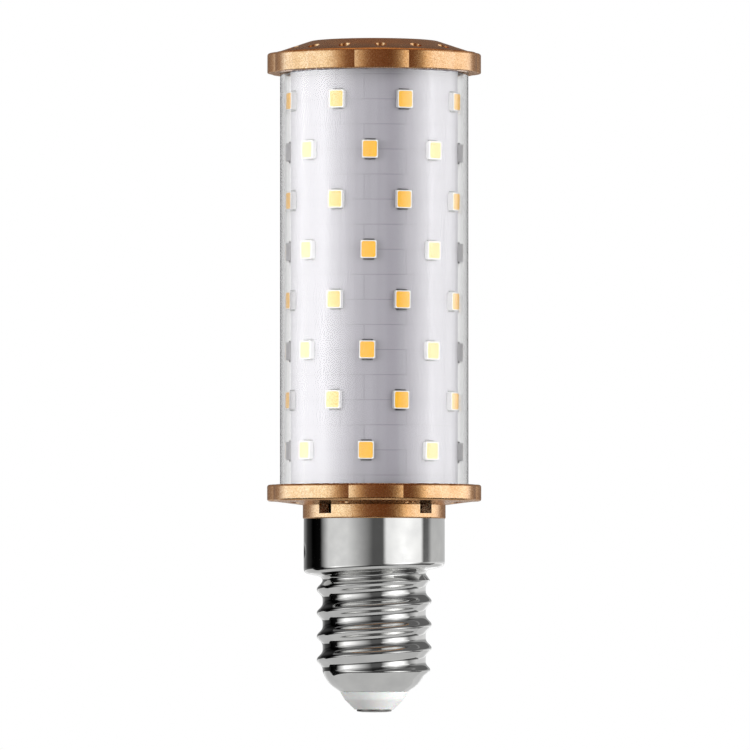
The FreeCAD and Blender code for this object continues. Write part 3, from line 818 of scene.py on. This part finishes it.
# Phosphor in silicone: a warm yellow powder under a smooth clear skin, so deep in colour and glossy.
phosphor_gel, tree = new_finish("phosphor_in_silicone")
place = add_node(tree, "ShaderNodeTexCoord").outputs["Object"]
PHOSPHOR_GRAIN = 0.15 * MM
grains = add_node(tree, "ShaderNodeTexNoise", {"Vector": place, "Scale": 1 / PHOSPHOR_GRAIN, "Detail": 3.0})
tint = add_ramp(tree, grains.outputs["Fac"], [(0.3, "#FFB600"), (0.7, "#FFC40C")])
gel = add_node(tree, "ShaderNodeBsdfPrincipled", {
    "Base Color": tint.outputs["Color"],
    "Roughness": 0.25,
    "IOR": 1.41,
})
add_node(tree, "ShaderNodeOutputMaterial", {"Surface": gel.outputs["BSDF"]})

# Solder on the tabs, coloured near-black as painted shade and dark reflection, so a dark grey line at each end of a
# lamp.
# Painted shade and dark reflection: the tabs are near-black instead of bright tin.
solder = plain_finish("tin_solder_painted_dark", "#141317", "#26252A", 0.25, 0.5)

for row in range(ROWS):
    cases = lamp_row(f"lamp_cases_{row + 1}", row, lamp_case)
    dress(cases, case_white, "lamp_case", f"led_body_row_{row + 1}")
    gels = lamp_row(f"lamp_gels_{row + 1}", row, phosphor_fill)
    dress(gels, phosphor_gel, "phosphor", f"phosphor_row_{row + 1}")
    tabs = lamp_row(f"lamp_tabs_{row + 1}", row, solder_tabs)
    dress(tabs, solder, "tinned_contact")

# Clear tube.
# Extruded clear plastic with a polished skin. Its ends stand in the seats of the two caps, and it keeps
# fingers off the lamps.
TUBE_R = 11.35
TUBE_WALL = 0.5
TUBE_STEPS = 256
TUBE_SHARP = 40
tube = turned("clear_tube_wall", [
    (TUBE_R, BOARD_LOW),
    (TUBE_R, BOARD_HIGH),
    (TUBE_R - TUBE_WALL, BOARD_HIGH),
    (TUBE_R - TUBE_WALL, BOARD_LOW),
], TUBE_STEPS, TUBE_SHARP)

# Clear acrylic: a smooth wall, with the draw lines of the die as the faintest change of tint. It swallows a
# little light, so it greys where it is seen edge on, and it lets lamps shine through.
acrylic, tree = new_finish("clear_acrylic")
place = add_node(tree, "ShaderNodeTexCoord").outputs["Object"]
DRAW_LINE = 0.8 * MM
stretched = add_node(tree, "ShaderNodeMapping", {"Vector": place, "Scale": (1.0, 1.0, 0.02)})
draw = add_node(
    tree, "ShaderNodeTexNoise", {"Vector": stretched.outputs["Vector"], "Scale": 1 / DRAW_LINE, "Detail": 1.0}
)
tint = add_ramp(tree, draw.outputs["Fac"], [(0.3, "#F6F6F6"), (0.7, "#FCFCFC")])
clear = add_node(tree, "ShaderNodeBsdfPrincipled", {
    "Base Color": tint.outputs["Color"],
    "Roughness": 0.0,
    "IOR": 1.49,
    "Transmission Weight": 1.0,
})
depth_grey = add_node(tree, "ShaderNodeVolumeAbsorption", {"Color": linear("#E7E7E7"), "Density": 360.0})
path = add_node(tree, "ShaderNodeLightPath")
open_way = add_node(tree, "ShaderNodeBsdfTransparent", {"Color": linear("#FFFFFF")})
lets_light = add_node(tree, "ShaderNodeMixShader", {
    0: path.outputs["Is Shadow Ray"],
    1: clear.outputs["BSDF"],
    2: open_way.outputs["BSDF"],
})
add_node(tree, "ShaderNodeOutputMaterial", {
    "Surface": lets_light.outputs["Shader"],
    "Volume": depth_grey.outputs["Volume"],
})
dress(tube, acrylic, "clear_plastic", "clear_tube")

# Top cap.
# The same moulding and paint as the base cap: a lobed rim, a sloping face with a ring of small vents,
# and a flat disc. It closes the tube, which stands in a seat under it.
TOP_FLANGE_Z = 77.0
TOP_RIM = 2.4
TOP_PHASE = math.radians(4.25)
LOW_EDGE = 0.12
SLOPE_R = 12.1
KINK_R = 9.7
KINK_Z = TOP_RIM + 0.8
KINK_FILLET = 0.6
DISC_R = 7.75
DISC_Z = TOP_RIM + 1.45
DISC_EDGE = 0.35
TOP_VENTS = 15
TOP_VENT_LOW = SEAT_DEPTH + 0.4
TOP_VENT_HIGH = TOP_RIM + 2.0
top_profile = rounded([
    (SLOPE_R, TOP_RIM, 0),
    (KINK_R, KINK_Z, KINK_FILLET),
    (DISC_R, DISC_Z, DISC_EDGE),
    (0, DISC_Z, 0),
])
top_rows = [round_row(0, SEAT_DEPTH), round_row(SEAT_R, SEAT_DEPTH), round_row(SEAT_R, 0.0)]
top_rows += rim_rows(0.0, TOP_RIM, LOW_EDGE, RIM_EDGE, TOP_PHASE)
top_rows += [round_row(r, z) for r, z in top_profile]
top_cap = mesh_piece("top_cap_moulding", turned_rows(top_rows, cap_angles(TOP_PHASE)))
cut_away(top_cap, [vent_cutters("top_vent_cutter", TOP_VENTS, TOP_VENT_LOW, TOP_VENT_HIGH, TOP_PHASE)])
crisp(top_cap, TOP_PHASE)
top_cap.data.transform(Matrix.Translation((0, 0, TOP_FLANGE_Z * MM)))
dress(top_cap, copper_paint, "copper_painted_plastic", "top_cap")

# Studio.
# A pale floor below the bulb, white all round, soft lamps on the left, on the right and behind, and a small
# low one for the plug alone. Cards that only reflections see give the metal its light and dark bands.
FLOOR_Z = -60 * MM
FLOOR_SIZE = 5.0
floor_mesh = bmesh.new()
bmesh.ops.create_grid(floor_mesh, x_segments=1, y_segments=1, size=FLOOR_SIZE)
bmesh.ops.translate(floor_mesh, vec=(0, 0, FLOOR_Z), verts=floor_mesh.verts)
floor = mesh_piece("floor", floor_mesh)

# Pale studio paper: it takes the bulb's shadow, and shows almost white to the eye and half grey to metal.
paper, tree = new_finish("pale_studio_paper")
place = add_node(tree, "ShaderNodeTexCoord").outputs["Object"]
PAPER_CLOUD = 40 * MM
cloud = add_node(tree, "ShaderNodeTexNoise", {"Vector": place, "Scale": 1 / PAPER_CLOUD, "Detail": 3.0})
tint = add_ramp(tree, cloud.outputs["Fac"], [(0.3, "#949494"), (0.7, "#989898")])
path = add_node(tree, "ShaderNodeLightPath")
to_eye = add_node(
    tree,
    "ShaderNodeMath",
    {0: path.outputs["Is Camera Ray"], 1: path.outputs["Is Transmission Ray"]},
    operation="MAXIMUM",
)
EYE_SHINE = 0.7
METAL_SHINE = 0.35
eye_share = add_node(tree, "ShaderNodeMath", {0: to_eye.outputs[0], 1: EYE_SHINE}, operation="MULTIPLY")
shine = add_node(
    tree,
    "ShaderNodeMath",
    {0: path.outputs["Is Glossy Ray"], 1: METAL_SHINE, 2: eye_share.outputs[0]},
    operation="MULTIPLY_ADD",
)
sheet = add_node(tree, "ShaderNodeBsdfPrincipled", {
    "Base Color": tint.outputs["Color"],
    "Roughness": 0.8,
    "Emission Color": linear("#FFFFFF"),
    "Emission Strength": shine.outputs[0],
})
add_node(tree, "ShaderNodeOutputMaterial", {"Surface": sheet.outputs["BSDF"]})
paper.cycles.emission_sampling = "NONE"
floor.data.materials.append(paper)


# Reflections. The shell, the caps and the tube each have round surrounds of their own, linked to them alone, with
# a soft light on the left, another on the right and dusk between. Overhead hang dim glows, grey for the shell and
# brown for the caps, and patches of light lie on the dark floor for the shell. All past them is black.
TENT_TOP = 0.5  # the sizes of the surrounds and lamps are in metres
ROOM_R = 0.6
SHELL_TENT_R = 0.56
CAP_TENT_R = 0.54
TUBE_TENT_R = 0.52
CARD_HOLE_R = 0.001
WALL_STEPS = 36


def seen_in_reflections(piece, tree, finish, surface):
    """Shows a card or a surround to reflections, and to nothing else."""
    add_node(tree, "ShaderNodeOutputMaterial", {"Surface": surface})
    finish.cycles.emission_sampling = "NONE"
    piece.data.materials.append(finish)
    piece.visible_camera = False
    piece.visible_diffuse = False
    piece.visible_transmission = False
    piece.visible_shadow = False


def round_wall(name, inner, outer, reach=180):
    """An open band between two circles, each (radius, height), to so many degrees each side of the front."""
    bm = bmesh.new()
    rings = []
    for r, z in (inner, outer):
        angles = [math.radians(reach * step / WALL_STEPS - 90) for step in range(-WALL_STEPS, WALL_STEPS + 1)]
        rings.append([bm.verts.new((r * math.cos(a), r * math.sin(a), z)) for a in angles])
    for i in range(2 * WALL_STEPS):
        bm.faces.new((rings[0][i], rings[0][i + 1], rings[1][i + 1], rings[1][i]))
    return mesh_piece(name, bm)


def plain_card(name, inner, outer, code, reach=180):
    """A card of one tone, for every reflection."""
    finish, tree = new_finish(name + "_tone")
    tone = add_node(tree, "ShaderNodeEmission", {"Color": linear(code), "Strength": 1.0})
    seen_in_reflections(round_wall(name, inner, outer, reach), tree, finish, tone.outputs["Emission"])


def linked_to(piece, receivers):
    """Keeps the light of a lamp or a surround to some pieces."""
    group = bpy.data.collections.new(piece.name + "_receivers")
    for receiver in receivers:
        group.objects.link(receiver)
    piece.light_linking.receiver_collection = group


def glow_wall(wall, tree, finish, colour, strength, receivers):
    """Gives a wall a glow that only some pieces take. All else sees through it, and so does light that a matt
    surface has scattered."""
    path = add_node(tree, "ShaderNodeLightPath")
    direct = add_node(tree, "ShaderNodeMath", {0: path.outputs["Diffuse Depth"], 1: 0.5}, operation="LESS_THAN")
    power = add_node(tree, "ShaderNodeMath", {0: direct.outputs[0], 1: strength}, operation="MULTIPLY")
    glow = add_node(tree, "ShaderNodeEmission", {"Color": colour, "Strength": power.outputs[0]})
    past = add_node(tree, "ShaderNodeBsdfTransparent")
    both = add_node(tree, "ShaderNodeAddShader", {0: glow.outputs["Emission"], 1: past.outputs["BSDF"]})
    seen_in_reflections(wall, tree, finish, both.outputs["Shader"])
    linked_to(wall, receivers)


def top_glow(name, height, reach, code, receivers):
    """An even round glow overhead."""
    finish, tree = new_finish(name + "_tone")
    wall = round_wall(name, (CARD_HOLE_R, height), (reach, height))
    glow_wall(wall, tree, finish, linear(code), 1.0, receivers)


def tent(name, inner, outer, strength, stops, receivers):
    """A surround whose light changes round the bulb. A stop is (degrees right of the camera, tone)."""
    finish, tree = new_finish(name + "_glow")
    place = add_node(tree, "ShaderNodeTexCoord").outputs["Object"]
    axes = add_node(tree, "ShaderNodeSeparateXYZ", {"Vector": place})
    front = add_node(tree, "ShaderNodeMath", {0: axes.outputs["Y"], 1: -1.0}, operation="MULTIPLY")
    around = add_node(tree, "ShaderNodeMath", {0: axes.outputs["X"], 1: front.outputs[0]}, operation="ARCTAN2")
    share = add_node(tree, "ShaderNodeMapRange", {
        "Value": around.outputs[0],
        "From Min": -math.pi,
        "From Max": math.pi,
    })
    light = add_ramp(tree, share.outputs["Result"], [((180 + degrees) / 360, code) for degrees, code in stops])
    glow_wall(round_wall(name, inner, outer), tree, finish, light.outputs["Color"], strength, receivers)


RING_R = 0.12
RING_Z = FLOOR_Z + 0.001
RING_REACH = 120
plain_card("room", (ROOM_R, FLOOR_Z), (ROOM_R, TENT_TOP), "#000000")
plain_card("ceiling", (CARD_HOLE_R, TENT_TOP), (ROOM_R, TENT_TOP), "#000000")
plain_card("floor_ring", (RING_R, RING_Z), (ROOM_R, RING_Z), "#101010", RING_REACH)
SHELL_TOP_GLOW_Z = TENT_TOP - 0.01
CAP_TOP_GLOW_Z = TENT_TOP - 0.02
CROWN_GLOW_Z = TENT_TOP - 0.03
CROWN_GLOW_STEP = 0.01  # wider rings of the glow hang lower by this share of their reach
top_glow("shell_top", SHELL_TOP_GLOW_Z, ROOM_R, "#686868", [shell, plug, contact, tube])
top_glow("cap_top", CAP_TOP_GLOW_Z, ROOM_R, "#623E2C", [base_cap, top_cap])
for reach in (0.38, 0.3, 0.2, 0.1):
    top_glow(f"crown_top_{reach}", CROWN_GLOW_Z - CROWN_GLOW_STEP * reach, reach, "#7C6850", [top_cap])
SHELL_LIGHT = [
    (-180, "#A8A8A8"), (-140, "#303030"), (-120, "#000000"), (-98, "#080808"), (-80, "#C4C4C4"), (-45, "#C8C8C8"),
    (-2, "#4C4C4C"), (14, "#4C4C4C"), (20, "#E2E2E2"), (50, "#F2F2F2"), (82, "#E8E8E8"), (88, "#505050"),
    (98, "#585858"), (108, "#ACACAC"), (180, "#ACACAC"),
]
LENS_LIGHT = [
    (-180, "#808080"), (-140, "#303030"), (-112, "#000000"), (-92, "#080808"), (-66, "#C8C8C8"), (-40, "#A0A0A0"),
    (-6, "#383838"), (16, "#383838"), (50, "#F2F2F2"), (84, "#606060"), (108, "#909090"), (180, "#909090"),
]
CARD_EDGE = 0.0195
CARD_MIDDLE = 0.045
CARD_TOP = 0.16
for name, low, high, strength, stops in (
    ("low_shell_tent", FLOOR_Z, CARD_EDGE, 2.8, LENS_LIGHT),
    ("shell_tent", CARD_EDGE, CARD_MIDDLE, 1.4, SHELL_LIGHT),
    ("middle_shell_tent", CARD_MIDDLE, CARD_TOP, 1.4, LENS_LIGHT),
    ("high_shell_tent", CARD_TOP, TENT_TOP, 0.5, LENS_LIGHT),
):
    tent(name, (SHELL_TENT_R, low), (SHELL_TENT_R, high), strength, stops, [shell, plug, contact])
PATCH_Z = FLOOR_Z + 0.002
for near, far, strength in ((0.36, SHELL_TENT_R, 1.6), (0.24, 0.36, 0.8), (0.1, 0.24, 0.35)):
    tent(f"shell_floor_{near}", (near, PATCH_Z), (far, PATCH_Z), strength, LENS_LIGHT, [shell])
CAP_CARD_TOP = 0.15
CAP_GLOW = 2.85
tent("cap_tent", (CAP_TENT_R, FLOOR_Z), (CAP_TENT_R, CAP_CARD_TOP), CAP_GLOW, [
    (-180, "#483E37"), (-128, "#67605A"), (-108, "#C2DCFF"), (-50, "#C8E2FF"), (-32, "#949088"), (-16, "#54433A"),
    (26, "#453228"), (42, "#6C6860"), (52, "#C0C0B8"), (66, "#C8D8F0"), (120, "#C8D8F0"), (132, "#67605A"),
    (180, "#483E37"),
], [base_cap, top_cap])
tent("high_cap_tent", (CAP_TENT_R, CAP_CARD_TOP), (CAP_TENT_R, TENT_TOP), CAP_GLOW, [
    (-180, "#483E37"), (-128, "#67605A"), (-108, "#78706A"), (-50, "#78706A"), (-16, "#54433A"), (26, "#453228"),
    (66, "#78706A"), (120, "#78706A"), (132, "#67605A"), (180, "#483E37"),
], [base_cap, top_cap])
TUBE_CARD_LOW = 0.02
TUBE_CARD_TOP = 0.13
TUBE_GLOW = 13.6
tent("tube_tent", (TUBE_TENT_R, TUBE_CARD_LOW), (TUBE_TENT_R, TUBE_CARD_TOP), TUBE_GLOW, [
    (-180, "#000000"), (-127, "#000000"), (-122, "#7C7C7C"), (-109, "#BCBCBC"), (-96, "#E8E8E8"), (-64, "#FFFFFF"),
    (-34, "#B0B0B0"), (-20, "#7A7A7A"), (16, "#000000"), (28, "#202020"), (48, "#A6A6A6"), (74, "#F0F0F0"),
    (108, "#B8B8B8"), (126, "#000000"), (180, "#000000"),
], [tube])
LAMP_AIM = Vector((0, 0, 0.045))


def soft_lamp(name, azimuth, distance, height, width, tall, power):
    """A soft box at so many degrees right of the camera, turned to the bulb. Reflections don't see it."""
    lamp = bpy.data.lights.new(name, "AREA")
    lamp.shape = "RECTANGLE"
    lamp.size = width
    lamp.size_y = tall
    lamp.energy = power
    stand = bpy.data.objects.new(name, lamp)
    bpy.context.scene.collection.objects.link(stand)
    a = math.radians(azimuth)
    stand.location = (distance * math.sin(a), -distance * math.cos(a), height)
    aim = LAMP_AIM - stand.location
    stand.rotation_euler = aim.to_track_quat("-Z", "Y").to_euler()
    stand.visible_glossy = False
    stand.visible_transmission = False
    return stand


soft_lamp("right_lamp", azimuth=55, distance=0.6, height=0.02, width=0.5, tall=0.9, power=4.4)
soft_lamp("left_lamp", azimuth=-55, distance=0.6, height=0.1, width=0.5, tall=0.6, power=3.3)
soft_lamp("back_lamp", azimuth=180, distance=0.7, height=0.25, width=0.5, tall=0.5, power=3.0)
low_lamp = soft_lamp("low_lamp", azimuth=65, distance=0.35, height=-0.02, width=0.2, tall=0.15, power=1.3)
linked_to(low_lamp, [plug])

# White all round: full white to the eye, in metal and through the tube, and a low fill as light.
world = bpy.data.worlds.new("white_surround")
world.use_nodes = True
tree = world.node_tree
tree.nodes.clear()
path = add_node(tree, "ShaderNodeLightPath")
seen = add_node(
    tree, "ShaderNodeMath", {0: path.outputs["Is Camera Ray"], 1: path.outputs["Is Glossy Ray"]}, operation="MAXIMUM"
)
seen_through = add_node(
    tree, "ShaderNodeMath", {0: seen.outputs[0], 1: path.outputs["Is Transmission Ray"]}, operation="MAXIMUM"
)
FILL = 0.22
level = add_node(
    tree, "ShaderNodeMapRange", {"Value": seen_through.outputs[0], "To Min": FILL, "To Max": 1.0}
)
surround = add_node(
    tree, "ShaderNodeBackground", {"Color": linear("#FFFFFF"), "Strength": level.outputs["Result"]}
)
add_node(tree, "ShaderNodeOutputWorld", {"Surface": surround.outputs["Background"]})
bpy.context.scene.world = world

# Camera.
# A long lens level with the thread, tilted up to take in the whole bulb. Rows and columns of the picture, which
# is 750 pixels square, place the bulb at SCALE pixels to a millimetre, DISTANCE millimetres away.
PIXELS = 750
SCALE = 8.3
DISTANCE = 1200.0
EYE_ROW = 652
CENTRE_COLUMN = 374.2
CONTACT_ROW = 712.3
SENSOR = 36.0
lens_pixels = SCALE * DISTANCE
view = bpy.data.cameras.new("long_lens")
view.sensor_width = SENSOR
view.lens = lens_pixels * SENSOR / PIXELS
view.clip_start = 0.01
camera = bpy.data.objects.new("camera", view)
bpy.context.scene.collection.objects.link(camera)
eye_z = (CONTACT_ROW - EYE_ROW) / SCALE
camera.location = ((PIXELS / 2 - CENTRE_COLUMN) / SCALE * MM, -DISTANCE * MM, eye_z * MM)
tilt = math.atan((EYE_ROW - PIXELS / 2) / lens_pixels)
camera.rotation_euler = (math.pi / 2 + tilt, 0, 0)
bpy.context.scene.camera = camera

bpy.context.scene.view_settings.view_transform = "Standard"
